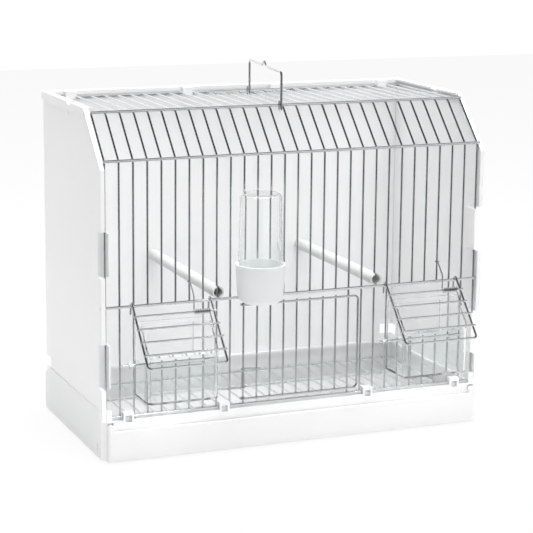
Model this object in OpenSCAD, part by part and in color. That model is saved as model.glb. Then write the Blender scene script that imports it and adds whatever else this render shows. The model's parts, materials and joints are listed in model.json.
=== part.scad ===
// Show cage for a small bird. White moulded walls stand on a base with a pull-out
// tray. A bent wire grille closes the front and the roof. It carries a door, two
// feeding flaps over clear feeders, a drinker, two perches and a carrying handle.
// Heights count from the table. Depths count from the plane of the upright wires,
// with the back of the cage at +Y; placed() then centres the whole cage in Y.

/* [Wires] */
// Distance from one upright wire to the next
wire_pitch = 12.5; // [12:0.1:13.5]
// Thickness of the upright wires
wire_d = 1.8; // [1.7:0.1:2.2]
// Thickness of the cross rails of the grille
rail_d = 2.6; // [2.4:0.1:3]
// Depth to which crossing wires melt together at a weld
weld = 0.3; // [0.2:0.05:0.4]
// Radius of the grille's two bends, at the middle of the wire
grille_bend_r = 5; // [4:0.5:7]
// Length that a wire stands past the rail it is welded to
wire_tail = 0.5; // [0.3:0.1:0.8]
// Distance that the pieces of the grille keep from the pieces that move on it
loose = 0.3; // [0.25:0.05:0.4]

/* [Heights and depth] */
// Height of the bottom rail above the front bar
rail_lift = 2; // [1.8:0.1:2.4]
// Height of the lower rail of the feeding openings
feed_rail_z = 82.8; // [78:0.5:86]
// Height of the middle rail
mid_rail_z = 134.3; // [130:0.5:138]
// Height at which the wires bend back
bend_z = 258; // [250:1:266]
// Depth and height of the sloping part of the grille
slope_run = 35.5; // [30:0.5:40]
// Depth from the upright wires to the outside of the back wall
back_y = 170; // [160:1:185]
// Height of the base and its front bar
base_h = 36.3; // [34:0.1:40]
// Height that the walls rise above the roof wires
wall_rise = 5; // [4:0.5:7]

/* [Walls] */
// Thickness of the side walls
side_t = 2.2; // [1.8:0.1:3]
// Thickness of the back wall
back_t = 2.5; // [2:0.1:3.5]
// Gap between the end wires and the side walls
side_gap = 0.4; // [0.3:0.1:1]
// Width that the front edge strip stands out of the side wall
strip_out = 1.4; // [1:0.1:2.5]
// Depth of the front edge strip, from its front face backwards
strip_depth = 9; // [7:0.5:12]
// Distance from the front face of the strips to the upright wires
front_y = 5; // [4.5:0.1:6]
// Height of the middle of the lower finger pocket
low_pocket_z = 83.5; // [80:0.5:88]
// Height of the middle of the upper finger pocket
high_pocket_z = 180; // [176:0.5:186]
// Height of each finger pocket
pocket_h = 40; // [34:1:44]
// Width of each finger pocket, from the outside of the strip inwards
pocket_w = 6.6; // [6.2:0.1:7]
// Depth of each finger pocket, from the front of the strip backwards
pocket_depth = 13.5; // [10:0.5:15]
// Thickness of a finger pocket's own walls
pocket_t = 1.4; // [1:0.1:1.8]
// Height of the middle of the notch in the back corner
corner_notch_z = 47.8; // [46:0.1:56]
// Height of the corner notch
corner_notch_h = 9.6; // [7:0.1:10]
// Depth of the corner notch from the back of the cage
corner_notch_y = 13.5; // [10:0.5:24]
// Width of the corner notch in the back wall
corner_notch_x = 12; // [8:1:16]
// Distance from the back of the cage to the gap in the roof edge
edge_gap_y = 84; // [76:1:92]
// Length of the gap in the roof edge
edge_gap_len = 9; // [6:1:12]
// Width of the wall's roof edge
roof_edge_w = 4.2; // [3.2:0.1:5]
// Thickness of the wall's roof edge
roof_edge_t = 2; // [1.6:0.1:2.4]
// Height of the rim that the wall carries outside, along the roof
roof_rim_h = 7.5; // [5:0.5:9]
// Width of the clips that hold the grille
clip_w = 9.4; // [8.6:0.1:9.6]

/* [Base and tray] */
// Thickness of the base's outer walls
base_t = 2.5; // [2:0.1:3.5]
// Width that the base stands out of the side walls
base_out = 1.4; // [1:0.1:2.5]
// Width of the rims along the base's top and foot
base_rim = 6; // [5.5:0.1:7]
// Distance from the base's side to the mouth for the tray
mouth_in = 5.2; // [5:0.1:6]
// Height of the mouth's top edge
mouth_top = 24; // [23:0.1:25]
// Width of the slanting face down each front corner of the base
base_chamfer = 4; // [2:0.5:4.5]
// Height of the lip that the skirt carries outside the side walls
lip_h = 6.7; // [4:0.1:8]
// Height of the top of the tray's front
tray_front_h = 27.5; // [26:0.1:28]
// Distance that the tray's front stands out of the front bar
tray_front_out = 5; // [4:0.1:6]
// Distance from the base's side to the end of the tray's front
tray_front_in = 3.7; // [3:0.1:4.5]
// Height of the ears at the ends of the tray's front
ear_top_z = 33.8; // [31:0.1:35]
// Width of the ears
ear_w = 6.5; // [5:0.1:8]
// Thickness of the tray's front and walls
tray_t = 2; // [1.6:0.1:2.6]
// Gap between the tray and the base
tray_gap = 0.35; // [0.3:0.05:1]
// Height of the tray's side walls
tray_wall_h = 15; // [13:0.5:16]
// Height of the skirt's foot above the table
foot_gap = 2; // [1.5:0.1:2.5]
// Thickness of the rim along the skirt's foot
foot_t = 1.2; // [1:0.1:1.5]
// Thickness of the cross wires of the floor grille
floor_rail_d = 2.5; // [2.2:0.1:2.6]

/* [Feeders and flaps] */
// Number of the upright wire at the left of the first feeding opening
feed_wire = 2; // [2:1:2]
// Number of wire gaps across a feeding opening
feed_gaps = 5; // [5:1:5]
// Number of wire gaps from the first feeding opening to the second
feed_step = 19; // [19:1:19]
// Depth of a feeder from front to back
feeder_depth = 36.1; // [30:0.1:36.5]
// Height of a feeder's floor
feeder_floor_z = 57.5; // [54:0.5:62]
// Wall thickness of a feeder
feeder_t = 1.5; // [1.2:0.1:2]
// Height of the top of a feeder's back
feeder_top_z = 121; // [116:0.5:122]
// Radius of a feeder's upright corners
feeder_corner_r = 5; // [3:0.5:7]
// Thickness of a flap's frame wire
flap_bar_d = 2; // [1.8:0.1:2.4]
// Distance from a flap's left bar to the first wire of its opening
flap_left = 2.4; // [2.4:0.1:2.6]
// Width of a flap between the middles of its side bars
flap_w = 70.5; // [70:0.1:70.6]
// Length of a flap from its hinge to its bottom bar
flap_len = 61.9; // [60:0.1:64]
// Distance between the cross wires of a flap
flap_pitch = 12.5; // [12:0.1:12.6]
// Angle at which a flap leans out from upright
flap_lean = 42.5; // [41:0.5:44]
// Radius of a flap's lower corners at the middle of the wire
flap_corner_r = 3; // [2.5:0.5:5]
// Length of the tail behind a flap's hinge loop
flap_tail = 8; // [5:0.5:9]

/* [Door] */
// Number of the upright wire that the door turns on
door_wire = 10; // [10:1:10]
// Number of wire gaps across the door opening
door_gaps = 8; // [8:1:8]
// Width that the door reaches past the opening
door_over = 8.5; // [7:0.1:9]
// Height of the door's bottom bar above the bottom rail
door_lift = 4.9; // [4:0.1:8]
// Distance from the middle rail down to the door's top bar
door_drop = 7; // [6:0.5:9]
// Thickness of the door's frame wire
door_bar_d = 2; // [1.8:0.1:2.4]
// Radius of the door's outer corners at the middle of the wire
door_corner_r = 4; // [3:0.5:8]

/* [Springs] */
// Thickness of the spring wire
spring_d = 1.2; // [1:0.05:1.3]
// Number of turns of each spring's coil
spring_turns = 7; // [5:1:8]
// Distance from one turn of a coil to the next
spring_pitch = 2; // [1.8:0.05:2]
// Gap between a coil and the wire that it is wound on
spring_gap = 0.35; // [0.3:0.05:0.5]
// Height above the middle rail at which a flap spring holds the grille
spring_hook_rise = 17.5; // [15:0.5:22]
// Height above the middle rail at which the arm of a flap spring bends to the grille
spring_knee_rise = 7; // [4:0.5:10]
// Height of the lowest turn of the door spring
door_spring_z = 52; // [50:1:60]

/* [Drinker] */
// Radius of the cup at its rim
cup_r = 21.5; // [20:0.5:23]
// Radius of the cup just above its rounded foot
cup_foot_r = 19.8; // [18:0.1:20]
// Rounding of the cup's foot
cup_round = 8; // [5:0.5:9]
// Height of the cup
cup_h = 34; // [30:1:40]
// Wall thickness of the cup
cup_t = 1.4; // [1.2:0.1:1.5]
// Gap between the cup and the upright wires
cup_gap = 0.5; // [0.4:0.1:1]
// Radius of the clear tube at its foot
tube_foot_r = 19.3; // [18:0.1:19.3]
// Radius of the clear tube at its top
tube_top_r = 18; // [16:0.1:18.4]
// Height of the top of the tube above the cup's rim
tube_rise = 61; // [50:1:75]
// Length of the tube inside the cup
tube_in_cup = 8; // [6:1:9]
// Width of the ledge inside the cup that the tube stands on
cup_ledge = 1.4; // [1:0.1:2]
// Wall thickness of the tube
tube_t = 1.2; // [1:0.1:1.6]
// Rounding of the tube's closed top
tube_round = 4; // [3:0.5:6]
// Length of the spout behind the upright wires
spout_in = 13; // [8:1:18]
// Height of the spout
spout_h = 9.4; // [8:0.1:11]

/* [Perches] */
// Outside thickness of the perch tubes
perch_d = 10.5; // [9:0.1:10.6]
// Wall thickness of the perch tubes
perch_t = 1.25; // [1:0.05:1.5]
// Length of a perch in front of the upright wires
perch_out = 4.2; // [3.5:0.1:5]
// Number of the upright wire that holds the left perch
left_perch_wire = 8; // [8:1:8]
// Number of the upright wire that holds the right perch
right_perch_wire = 20; // [20:1:20]
// Length of the pegs that hold the perches at the back
peg_len = 10; // [6:1:16]

/* [Handle] */
// Thickness of the handle's wire
handle_d = 2.2; // [2:0.1:2.4]
// Height of the handle above the roof rail
handle_h = 29; // [24:1:36]
// Rise of the kink at the middle of the handle
handle_kink = 4; // [2:0.5:6]
// Half of the length of the kink
handle_kink_len = 7; // [6:0.5:10]
// Distance of the handle's front leg from the middle of the cage, to the left
handle_front_x = 2.8; // [2.6:0.1:5]
// Distance of the handle's back leg from the middle of the cage, to the right
handle_back_x = 9.6; // [5:0.1:9.7]
// Depth of the handle's hooks below the rail's middle
hook_drop = 5; // [4.6:0.1:5.4]
// Depth from the upright wires to the short bar that holds the handle
short_bar_y = 140; // [125:1:146]
// Thickness of the short bar that holds the handle
short_bar_d = 2.4; // [2:0.1:2.6]

/* [Hidden] */

wire_gaps = 28;
middle_wire = wire_gaps/2;
fine = 32;
bottom_rail_z = base_h + rail_lift;
door_low_z = bottom_rail_z + door_lift;
grille_half = wire_gaps*wire_pitch/2;
wire_r = wire_d/2;
rail_r = rail_d/2;
// Middle of a rail that is welded across the front of the upright wires
rail_y = -(wire_r + rail_r - weld);
top_wire_z = bend_z + slope_run;
wall_top_z = top_wire_z + wall_rise;
side_in = grille_half + wire_r + side_gap;
side_out = side_in + side_t;
strip_x = side_out + strip_out;
base_x = side_out + base_out;
back_in = back_y - back_t;
rear_rail_y = back_in - 6.5;
seat = 0.1;
// A bend is thicker than its wire by this much, and the wire runs this far into it
swell = 0.03;
run_in = 0.1;

// Hinge of the flaps: the middle rail. The frame lies off it by flap_loop_r, and the
// cross wires, welded on the frame's outer side, by flap_wire_off.
flap_loop_r = rail_r + loose + flap_bar_d/2;
flap_wire_off = flap_loop_r + (flap_bar_d + wire_d)/2 - weld;
flap_tip_y = rail_y - flap_len*sin(flap_lean) - flap_loop_r*cos(flap_lean);
front_reach = flap_bar_d/2 - flap_tip_y;
grille_y = (front_reach - back_y)/2;

coil_r = wire_r + spring_gap + spring_d/2;
door_eye_r = wire_r + loose + door_bar_d/2;
door_top_z = mid_rail_z - door_drop;
door_wire_y = -door_eye_r + (door_bar_d + wire_d)/2 - weld;
tray_floor_z = foot_gap + foot_t + loose;
tray_wall_z = tray_floor_z + tray_wall_h;
floor_rail_z = tray_wall_z + floor_rail_d/2;
floor_wire_z = floor_rail_z + (floor_rail_d + wire_d)/2 - weld;
perch_z = mid_rail_z + rail_r + perch_d/2 + seat;
cup_x = wire_x(door_wire + 0.5);
cup_y = -(wire_r + cup_gap + cup_r);
spout_z = mid_rail_z + rail_r + loose;
cup_z = mid_rail_z - 0.6;
// Rails on the two bends: a bend rounds its corner off, so they lie a little lower
bend_rail_off = wire_r + rail_r - weld - grille_bend_r*(1/cos(22.5) - 1);
roof_rail_y = slope_run - bend_rail_off*sin(22.5);
roof_rail_z = top_wire_z + bend_rail_off*cos(22.5);
short_bar_z = top_wire_z + wire_r + short_bar_d/2 + 0.02;

function wire_x(number) = (number - middle_wire)*wire_pitch;
function unit(v) = v/norm(v);
function turn_of(a, b) = acos(max(-1, min(1, a*b)));

module placed() {
    translate([0, grille_y, 0]) children();
}

// A straight round wire between two points
module rod(from, to, d) {
    v = to - from;
    translate(from)
        rotate([0, acos(max(-1, min(1, v[2]/norm(v)))), atan2(v[1], v[0])])
            cylinder(d = d, h = norm(v), $fn = fine);
}

// Part of a ring of round wire, in the XY plane, from one angle to the other. It is
// a hair thicker than the straight wires that run into its ends.
module ring(r, d, from, to) {
    rotate([0, 0, from])
        rotate_extrude(angle = to - from, $fn = 2*fine)
            translate([r, 0]) circle(d = d + swell, $fn = fine);
}

// Length that a bend of radius r takes from each side of corner i
function cut_of(points, i, r) =
    r*tan(turn_of(unit(points[i] - points[i - 1]), unit(points[i + 1] - points[i]))/2);

// One wire bent in the XY plane along a list of corners, each rounded to radius r
module bent_wire(points, d, r) {
    last = len(points) - 1;
    for (i = [0:last - 1]) {
        way = unit(points[i + 1] - points[i]);
        a = points[i] + way*(i == 0 ? 0 : cut_of(points, i, r) - run_in);
        b = points[i + 1] - way*(i == last - 1 ? 0 : cut_of(points, i + 1, r) - run_in);
        if ((b - a)*way > 2*run_in) rod([a[0], a[1], 0], [b[0], b[1], 0], d);
    }
    for (i = [1:last - 1]) {
        way = unit(points[i] - points[i - 1]);
        next = unit(points[i + 1] - points[i]);
        side = sign(way[0]*next[1] - way[1]*next[0]);
        start = points[i] - way*cut_of(points, i, r);
        middle = start + side*r*[-way[1], way[0]];
        first = side > 0 ? atan2(-way[0], way[1]) : atan2(next[0], -next[1]);
        translate([middle[0], middle[1], 0])
            ring(r, d, first, first + turn_of(way, next));
    }
}

// A tube along a path of points with flat ends. The reference direction keeps the
// rings from twisting and is never along the path.
module swept_tube(path, r, sides, reference) {
    last = len(path) - 1;
    way = [for (i = [0:last]) unit(path[min(i + 1, last)] - path[max(i - 1, 0)])];
    out = [for (i = [0:last]) unit(cross(way[i], reference))];
    up = [for (i = [0:last]) cross(way[i], out[i])];
    points = [for (i = [0:last]) for (k = [0:sides - 1])
        path[i] + r*cos(360*k/sides)*out[i] + r*sin(360*k/sides)*up[i]];
    walls = [for (i = [0:last - 1]) for (k = [0:sides - 1])
        let (a = i*sides + k, b = i*sides + (k + 1)%sides)
        each [[a, a + sides, b], [b, a + sides, b + sides]]];
    start_cap = [for (k = [1:sides - 2]) [0, k, k + 1]];
    end_cap = [for (k = [1:sides - 2]) [last*sides, last*sides + k + 1, last*sides + k]];
    polyhedron(points = points, faces = concat(start_cap, walls, end_cap), convexity = 6);
}

// Points of a coil along Z: 8 a turn, from one angle, climbing one pitch a turn
function coil_points(turns, first) =
    [for (i = [0:round(8*turns)])
        [coil_r*cos(first + 45*i), coil_r*sin(first + 45*i), spring_pitch*i/8]];
coil_tube_gap = spring_pitch*cos(atan2(spring_pitch, 360*coil_r*PI/180)) - spring_d;
echo(least_gap_between_coil_turns = coil_tube_gap);

// Least gap of a wound wire to itself, between points at least so many points apart
function least_gap(path, far) =
    min([for (i = [0:len(path) - 1 - far]) for (j = [i + far:len(path) - 1])
        norm(path[j] - path[i])]) - spring_d;

// Base: a skirt with a rim along its top and foot, and a bar across its front
module base_frame() {
    color("white") placed() {
        inner = base_x - base_t;
        mouth = base_x - mouth_in;
        difference() {
            translate([-base_x, -front_y, foot_gap])
                cube([2*base_x, front_y + back_y, base_h - foot_gap]);
            // Space inside the skirt, between the two rims
            translate([-inner, 0, foot_gap + foot_t])
                cube([2*inner, back_y - base_t, base_h - foot_gap - foot_t - 2.5]);
            // Opening inside the upper rim, and inside the foot's rim
            translate([-base_x + base_rim, 4, base_h - 9])
                cube([2*(base_x - base_rim), back_y - 4 - base_rim, 10]);
            translate([-inner + base_rim, 4, -1])
                cube([2*(inner - base_rim), back_y - 4 - base_t - base_rim, 9]);
            // Mouth for the tray in the front
            translate([-mouth, -front_y - 1, -1])
                cube([2*mouth, front_y + 16, mouth_top + 1]);
            // Snap slots low in the skirt, near the front
            for (side = [-1, 1])
                translate([side*base_x - 4, 8, 8]) cube([8, 1.6, 6]);
            // Slanting front corners
            for (side = [-1, 1]) translate([side*base_x, -front_y, 0]) rotate([0, 0, 45])
                cube([base_chamfer*sqrt(2), base_chamfer*sqrt(2), 4*base_h], center = true);
            // Pockets below the clips, and a recess below each end block
            for (number = front_clips)
                translate([wire_x(number) - clip_w/2 + 1.9, -front_y - 1, base_h - 2.1])
                    cube([clip_w - 3.8, front_y + 1 + rail_y, 3]);
            for (side = [-1, 1])
                translate([side*(side_in - 3.6) - 2.7, -front_y - 1, base_h - 4.8])
                    cube([5.4, 3.2, 3.4]);
        }
        for (side = [-1, 1]) {
            end_block(side);
            skirt_lip(side);
            // Feet under the rim, set in from the sides
            for (y = [20, back_y - 32])
                translate([side*(inner - base_rim/2 - 1) - 2, y, 0])
                    cube([4, 14, foot_gap + 0.5]);
        }
        for (number = front_clips) translate([wire_x(number), 0, 0]) front_clip();
    }
}
front_clips = [1.5, 8.5, 19.5, 26.5];

// Lip of the skirt outside a side wall: it slopes down at the back corner
module skirt_lip(side) {
    width = base_out - seat;
    translate([side*(base_x - width/2) - width/2, 0, 0]) rotate([90, 0, 90])
        linear_extrude(height = width) polygon([
            [strip_depth - front_y + loose, base_h - 1],
            [strip_depth - front_y + loose, base_h + lip_h],
            [back_y - corner_notch_y, base_h + lip_h],
            [back_y, base_h - 0.6], [back_y, base_h - 1]
        ]);
}

// Clip on the front bar: a hooked block with the bottom rail lying in its throat
module front_clip() {
    throat_r = rail_r + seat;
    difference() {
        translate([-clip_w/2, -front_y - 0.3, base_h - 3.3])
            cube([clip_w, front_y + 0.3 + rail_y + throat_r + 0.9,
                rail_lift + throat_r + 3.2 + 3.3]);
        translate([-clip_w, rail_y, bottom_rail_z]) rotate([0, 90, 0])
            cylinder(r = throat_r, h = 2*clip_w, $fn = fine);
        translate([-clip_w, rail_y, bottom_rail_z - throat_r])
            cube([2*clip_w, 9, 1.4*throat_r]);
        // Moulding pocket in its face, through which the rail shows
        translate([-clip_w/2 + 1.9, -front_y - 1, base_h - 2.1])
            cube([clip_w - 3.8, front_y + 1 + rail_y, 5.7]);
    }
}

// Block at each end of the front bar that the end of the bottom rail rests in
module end_block(side) {
    block_w = 5;
    difference() {
        translate([side*(side_in - block_w/2 - 0.2) - block_w/2, -front_y, base_h - 1])
            cube([block_w, front_y - wire_r - 0.4, 10.7]);
        translate([-2*side_in, rail_y, bottom_rail_z]) rotate([0, 90, 0])
            cylinder(r = rail_r + seat, h = 4*side_in, $fn = fine);
        translate([-2*side_in, rail_y, bottom_rail_z - rail_r - seat])
            cube([4*side_in, 9, 2*(rail_r + seat)]);
    }
}

// Outline of a side wall, with Y across and Z up
module side_outline() {
    polygon([
        [-front_y, base_h], [-front_y, bend_z - 1 - front_y],
        [wall_top_z - bend_z + 1, wall_top_z], [back_y, wall_top_z],
        [back_y, corner_notch_z + corner_notch_h/2],
        [back_y - corner_notch_y, corner_notch_z + corner_notch_h/2],
        [back_y - corner_notch_y, corner_notch_z - corner_notch_h/2],
        [back_y, corner_notch_z - corner_notch_h/2], [back_y, base_h]
    ]);
}

// A plate of the side wall's outline between two distances from the middle
module side_plate(from, to) {
    translate([from, 0, 0]) rotate([90, 0, 90])
        linear_extrude(height = to - from) side_outline();
}

// The right side wall; the left one is its mirror image
module side_wall() {
    difference() {
        union() {
            side_plate(side_in, side_out);
            // Strip down the front edge, along the slope and along the roof
            intersection() {
                side_plate(side_in, strip_x);
                translate([side_in - 1, -front_y - 1, base_h]) union() {
                    cube([9, strip_depth + 1, bend_z - base_h]);
                    translate([0, front_y + 1, bend_z - base_h]) rotate([-45, 0, 0])
                        translate([0, -20, -strip_depth]) cube([9, 20 + 1, 80]);
                    translate([0, front_y + 1 + wall_top_z - bend_z + 2.5,
                        wall_top_z - roof_rim_h - base_h])
                        cube([9, back_y, roof_rim_h + 1]);
                }
            }
            // Edge along the roof, over the end wire, as far as the back wall's ledge
            translate([strip_x - roof_edge_w - strip_out, wall_top_z - bend_z + 1,
                wall_top_z - roof_edge_t])
                cube([roof_edge_w, back_in - 3 - seat - (wall_top_z - bend_z + 1),
                    roof_edge_t]);
            for (z = [low_pocket_z, high_pocket_z]) pocket_walls(z);
        }
        for (z = [low_pocket_z, high_pocket_z])
            translate([strip_x - pocket_w, -front_y - 1, z - pocket_h/2])
                cube([pocket_w + 1, pocket_depth + 1, pocket_h]);
        // Gap in the roof edge and the latch slot under it
        translate([side_in - 9, back_y - edge_gap_y - edge_gap_len/2, wall_top_z - roof_edge_t])
            cube([20, edge_gap_len, roof_edge_t + 1]);
        translate([side_in - 1, back_y - edge_gap_y + edge_gap_len/2, wall_top_z - 12])
            cube([9, 1.4, 5]);
        // Holes for the ends of the rails
        for (z = [mid_rail_z])
            translate([side_in - 1, rail_y, z]) rotate([0, 90, 0])
                cylinder(r = rail_r + seat, h = 9, $fn = fine);
    }
}

// Walls of one finger pocket: a flat inner wall and a back wall that joins it to the
// side wall. The end wire passes in front of the back wall.
module pocket_walls(z) {
    inner = strip_x - pocket_w - pocket_t;
    translate([inner, -front_y, z - pocket_h/2 + pocket_t])
        cube([pocket_t, pocket_depth + pocket_t, pocket_h - 2*pocket_t]);
    translate([inner, -front_y + pocket_depth, z - pocket_h/2 - pocket_t])
        cube([side_out - inner, pocket_t, pocket_h + 2*pocket_t]);
}

module left_panel() {
    color("gainsboro") placed() mirror([1, 0, 0]) side_wall();
}

module right_panel() {
    color("gainsboro") placed() side_wall();
}

// Back wall: a plate with a top ledge, four clips over the rear rail and two pegs
module back_panel() {
    color("whitesmoke") placed() {
        difference() {
            union() {
                translate([-side_in + seat, back_in, base_h])
                    cube([2*(side_in - seat), back_t, wall_top_z - base_h]);
                translate([-side_in + seat, back_in - 3, wall_top_z - 4])
                    cube([2*(side_in - seat), back_t + 3, 4]);
                for (number = [1.5, 10.5, 17.5, 26.5]) rear_clip(wire_x(number));
                for (number = [left_perch_wire, right_perch_wire])
                    translate([wire_x(number), back_in + 0.5, perch_z]) rotate([90, 0, 0])
                        cylinder(r = perch_d/2 - perch_t - 0.15, h = peg_len, $fn = fine);
            }
            for (side = [-1, 1])
                translate([side*side_in - corner_notch_x, back_in - 1,
                    corner_notch_z - corner_notch_h/2])
                    cube([2*corner_notch_x, back_t + 2, corner_notch_h]);
        }
    }
}

// Clip at the top of the back wall: an arm that reaches over the rear rail
module rear_clip(x) {
    arm_front = rear_rail_y - rail_r - 1.8;
    rear_rail_z = top_wire_z - (wire_r + rail_r - weld);
    difference() {
        translate([x - clip_w/2, arm_front, rear_rail_z - rail_r - 1.6])
            cube([clip_w, back_in - arm_front + 0.5, wall_top_z - rear_rail_z + rail_r + 1.6]);
        translate([x - clip_w, rear_rail_y, rear_rail_z]) rotate([0, 90, 0])
            cylinder(r = rail_r + seat, h = 2*clip_w, $fn = fine);
        translate([x - clip_w, arm_front - 1, rear_rail_z - rail_r - 2])
            cube([2*clip_w, rear_rail_y - arm_front + 1, rail_r + 2]);
    }
}

// One grille wire across the whole width, welded on the front of the uprights
module front_rail(z, reach) {
    rod([-reach, rail_y, z], [reach, rail_y, z], rail_d);
}

// Upright part of the grille above the middle rail, up to the bend
module upper_grille() {
    color("dimgray") placed() {
        bend_cut = grille_bend_r*tan(22.5);
        union() {
            for (number = [0:wire_gaps])
                rod([wire_x(number), 0, mid_rail_z - rail_r - wire_tail],
                    [wire_x(number), 0, bend_z - bend_cut], wire_d);
            front_rail(mid_rail_z, strip_x - 0.5);
        }
    }
}

// True for a wire that is cut away above the lower rail of a feeding opening
function cut_for_feeding(number) =
    (number > feed_wire && number < feed_wire + feed_gaps) ||
    (number > feed_wire + feed_step && number < feed_wire + feed_step + feed_gaps);

// Upright part of the grille below the middle rail, with its three openings
module lower_grille() {
    color("dimgray") placed() {
        top = mid_rail_z - rail_r - wire_tail;
        foot = bottom_rail_z - rail_r - wire_tail;
        union() {
            for (number = [0:wire_gaps])
                if (number <= door_wire || number >= door_wire + door_gaps)
                    rod([wire_x(number), 0, foot],
                        [wire_x(number), 0, cut_for_feeding(number)
                            ? feed_rail_z + rail_r + wire_tail : top], wire_d);
            front_rail(bottom_rail_z, side_in - seat);
            for (step = [0, feed_step])
                rod([wire_x(feed_wire + step - 1), rail_y, feed_rail_z],
                    [wire_x(feed_wire + feed_gaps + step + 1), rail_y, feed_rail_z], rail_d);
        }
    }
}

// Wires of the grille where they bend back and rise to the roof
module slope_grille() {
    color("dimgray") placed() {
        bend_cut = grille_bend_r*tan(22.5);
        union() {
            for (number = [0:wire_gaps]) translate([wire_x(number), 0, 0])
                rotate([90, 0, 90])
                    bent_wire([[0, bend_z - bend_cut], [0, bend_z],
                        [slope_run, top_wire_z], [slope_run + bend_cut, top_wire_z]],
                        wire_d, grille_bend_r);
            rod([-side_in - 0.6, -bend_rail_off*cos(22.5), bend_z + bend_rail_off*sin(22.5)],
                [side_in + 0.6, -bend_rail_off*cos(22.5), bend_z + bend_rail_off*sin(22.5)],
                rail_d);
            rod([-side_in + seat, roof_rail_y, roof_rail_z],
                [side_in - seat, roof_rail_y, roof_rail_z], rail_d);
        }
    }
}

// Level part of the grille, back to the rear rail
module roof_grille() {
    color("silver") placed() {
        start = slope_run + grille_bend_r*tan(22.5);
        rear_rail_z = top_wire_z - (wire_r + rail_r - weld);
        union() {
            for (number = [0:wire_gaps])
                rod([wire_x(number), start, top_wire_z],
                    [wire_x(number), rear_rail_y + rail_r + wire_tail, top_wire_z], wire_d);
            rod([-side_in + 1, rear_rail_y, rear_rail_z],
                [side_in - 1, rear_rail_y, rear_rail_z], rail_d);
        }
    }
}

// Short bar laid across six roof wires for the handle's rear hook
module handle_bar() {
    color("dimgray") placed()
        rod([wire_x(12) - 5, short_bar_y, short_bar_z],
            [wire_x(17) + 6, short_bar_y, short_bar_z], short_bar_d);
}

// Pull-out tray. Its body runs through the mouth. Its front is a thick plate outside
// the front bar, with a rounded ear standing up at each end.
module tray() {
    color("white") placed() {
        reach = base_x - mouth_in - tray_gap;
        back = back_y - base_t - 1.5;
        difference() {
            union() {
                intersection() {
                    linear_extrude(height = 2*ear_top_z) tray_front_plan();
                    rotate([90, 0, 0]) linear_extrude(height = 20) tray_front_outline();
                }
                translate([-reach, -front_y - 1, tray_floor_z])
                    cube([2*reach, back + front_y + 1, tray_wall_h]);
            }
            // Hollow of the tray
            translate([-reach + tray_t, -front_y + tray_t, tray_floor_z + tray_t])
                cube([2*(reach - tray_t), back + front_y - 2*tray_t, tray_front_h]);
        }
    }
}

// The tray's front seen from above
module tray_front_plan() {
    half = base_x - tray_front_in;
    depth = tray_front_out - tray_gap;
    translate([0, -front_y - tray_front_out]) intersection() {
        translate([-half, 0]) square([2*half, depth]);
        union() {
            for (side = [-1, 1]) translate([side*(half - 3), 3]) circle(r = 3, $fn = fine);
            translate([-half + 3, 0]) square([2*(half - 3), depth]);
            translate([-half, 3]) square([2*half, depth - 3]);
        }
    }
}

// The tray's front seen from the front: a bar with an ear at each end
module tray_front_outline() {
    half = base_x - tray_front_in;
    translate([-half, 1.4]) square([2*half, tray_front_h - 1.4]);
    for (side = [-1, 1]) translate([side*(half - ear_w/2), 0]) {
        translate([0, ear_top_z - ear_w/2]) circle(d = ear_w, $fn = fine);
        translate([-ear_w/2, tray_front_h - 9]) square([ear_w, ear_top_z - ear_w/2 - tray_front_h + 9]);
    }
}

// Wire floor that lies on the rim of the tray
module floor_grille() {
    color("silver") placed() {
        reach = base_x - mouth_in - tray_gap - 0.4;
        back = back_y - base_t - 6;
        union() {
            for (number = [1:wire_gaps - 1])
                rod([wire_x(number), 6, floor_wire_z],
                    [wire_x(number), back, floor_wire_z], wire_d);
            for (share = [0:3])
                rod([-reach, 9 + share*(back - 12)/3, floor_rail_z],
                    [reach, 9 + share*(back - 12)/3, floor_rail_z], floor_rail_d);
        }
    }
}

// Height of a feeder's sloping edge at a distance in front of the hinge
function cheek_z(y) =
    mid_rail_z + (y - rail_y)*cos(flap_lean)/sin(flap_lean)
    + (flap_wire_off - wire_r - loose)/sin(flap_lean);

// Clear feeder that hangs on the lower rail of an opening, in front of the grille
module feeder(step) {
    left = wire_x(feed_wire + step) - 0.5;
    right = wire_x(feed_wire + feed_gaps + step) + 0.5;
    back = rail_y - rail_r - 0.4;
    front = back - feeder_depth;
    cheek_top_y = front + (feeder_top_z - cheek_z(front))*tan(flap_lean);
    placed() {
        difference() {
            intersection() {
                translate([0, 0, feeder_floor_z])
                    feeder_block(left, right, front, back, 0, feeder_top_z - feeder_floor_z);
                // Side view: level foot, upright front, sloping edge and level top
                translate([left - 9, 0, 0]) rotate([90, 0, 90])
                    linear_extrude(height = right - left + 18) polygon([
                        [back + 1, feeder_floor_z - 1], [front - 1, feeder_floor_z - 1],
                        [front - 1, cheek_z(front - 1)], [cheek_top_y, feeder_top_z],
                        [back + 1, feeder_top_z]
                    ]);
            }
            translate([0, 0, feeder_floor_z + feeder_t])
                feeder_block(left, right, front, back, feeder_t, feeder_top_z);
            // Opening in the back for the bird
            translate([left + 11, back - 3, feed_rail_z + 5])
                cube([right - left - 22, 9, feeder_top_z - feed_rail_z - 9]);
        }
        // Ears that hook over the ends of the lower rail, clear of the upright wires
        difference() {
            for (x = [left - 4.6, right - 0.4]) feeder_ear(x, back);
            for (x = [left + 0.5, right - 0.5])
                translate([x - wire_r - loose, -wire_r - loose, feed_rail_z - 9])
                    cube([wire_d + 2*loose, 9, 20]);
        }
    }
}

module feeder_block(left, right, front, back, wall, height) {
    r = max(feeder_corner_r - wall, 0.5);
    linear_extrude(height = height) {
        for (x = [left + wall + r, right - wall - r])
            translate([x, front + wall + r]) circle(r = r, $fn = fine);
        translate([left + wall + r, front + wall])
            square([right - left - 2*wall - 2*r, back - front - 2*wall]);
        translate([left + wall, front + wall + r])
            square([right - left - 2*wall, back - front - 2*wall - r]);
    }
}

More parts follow.
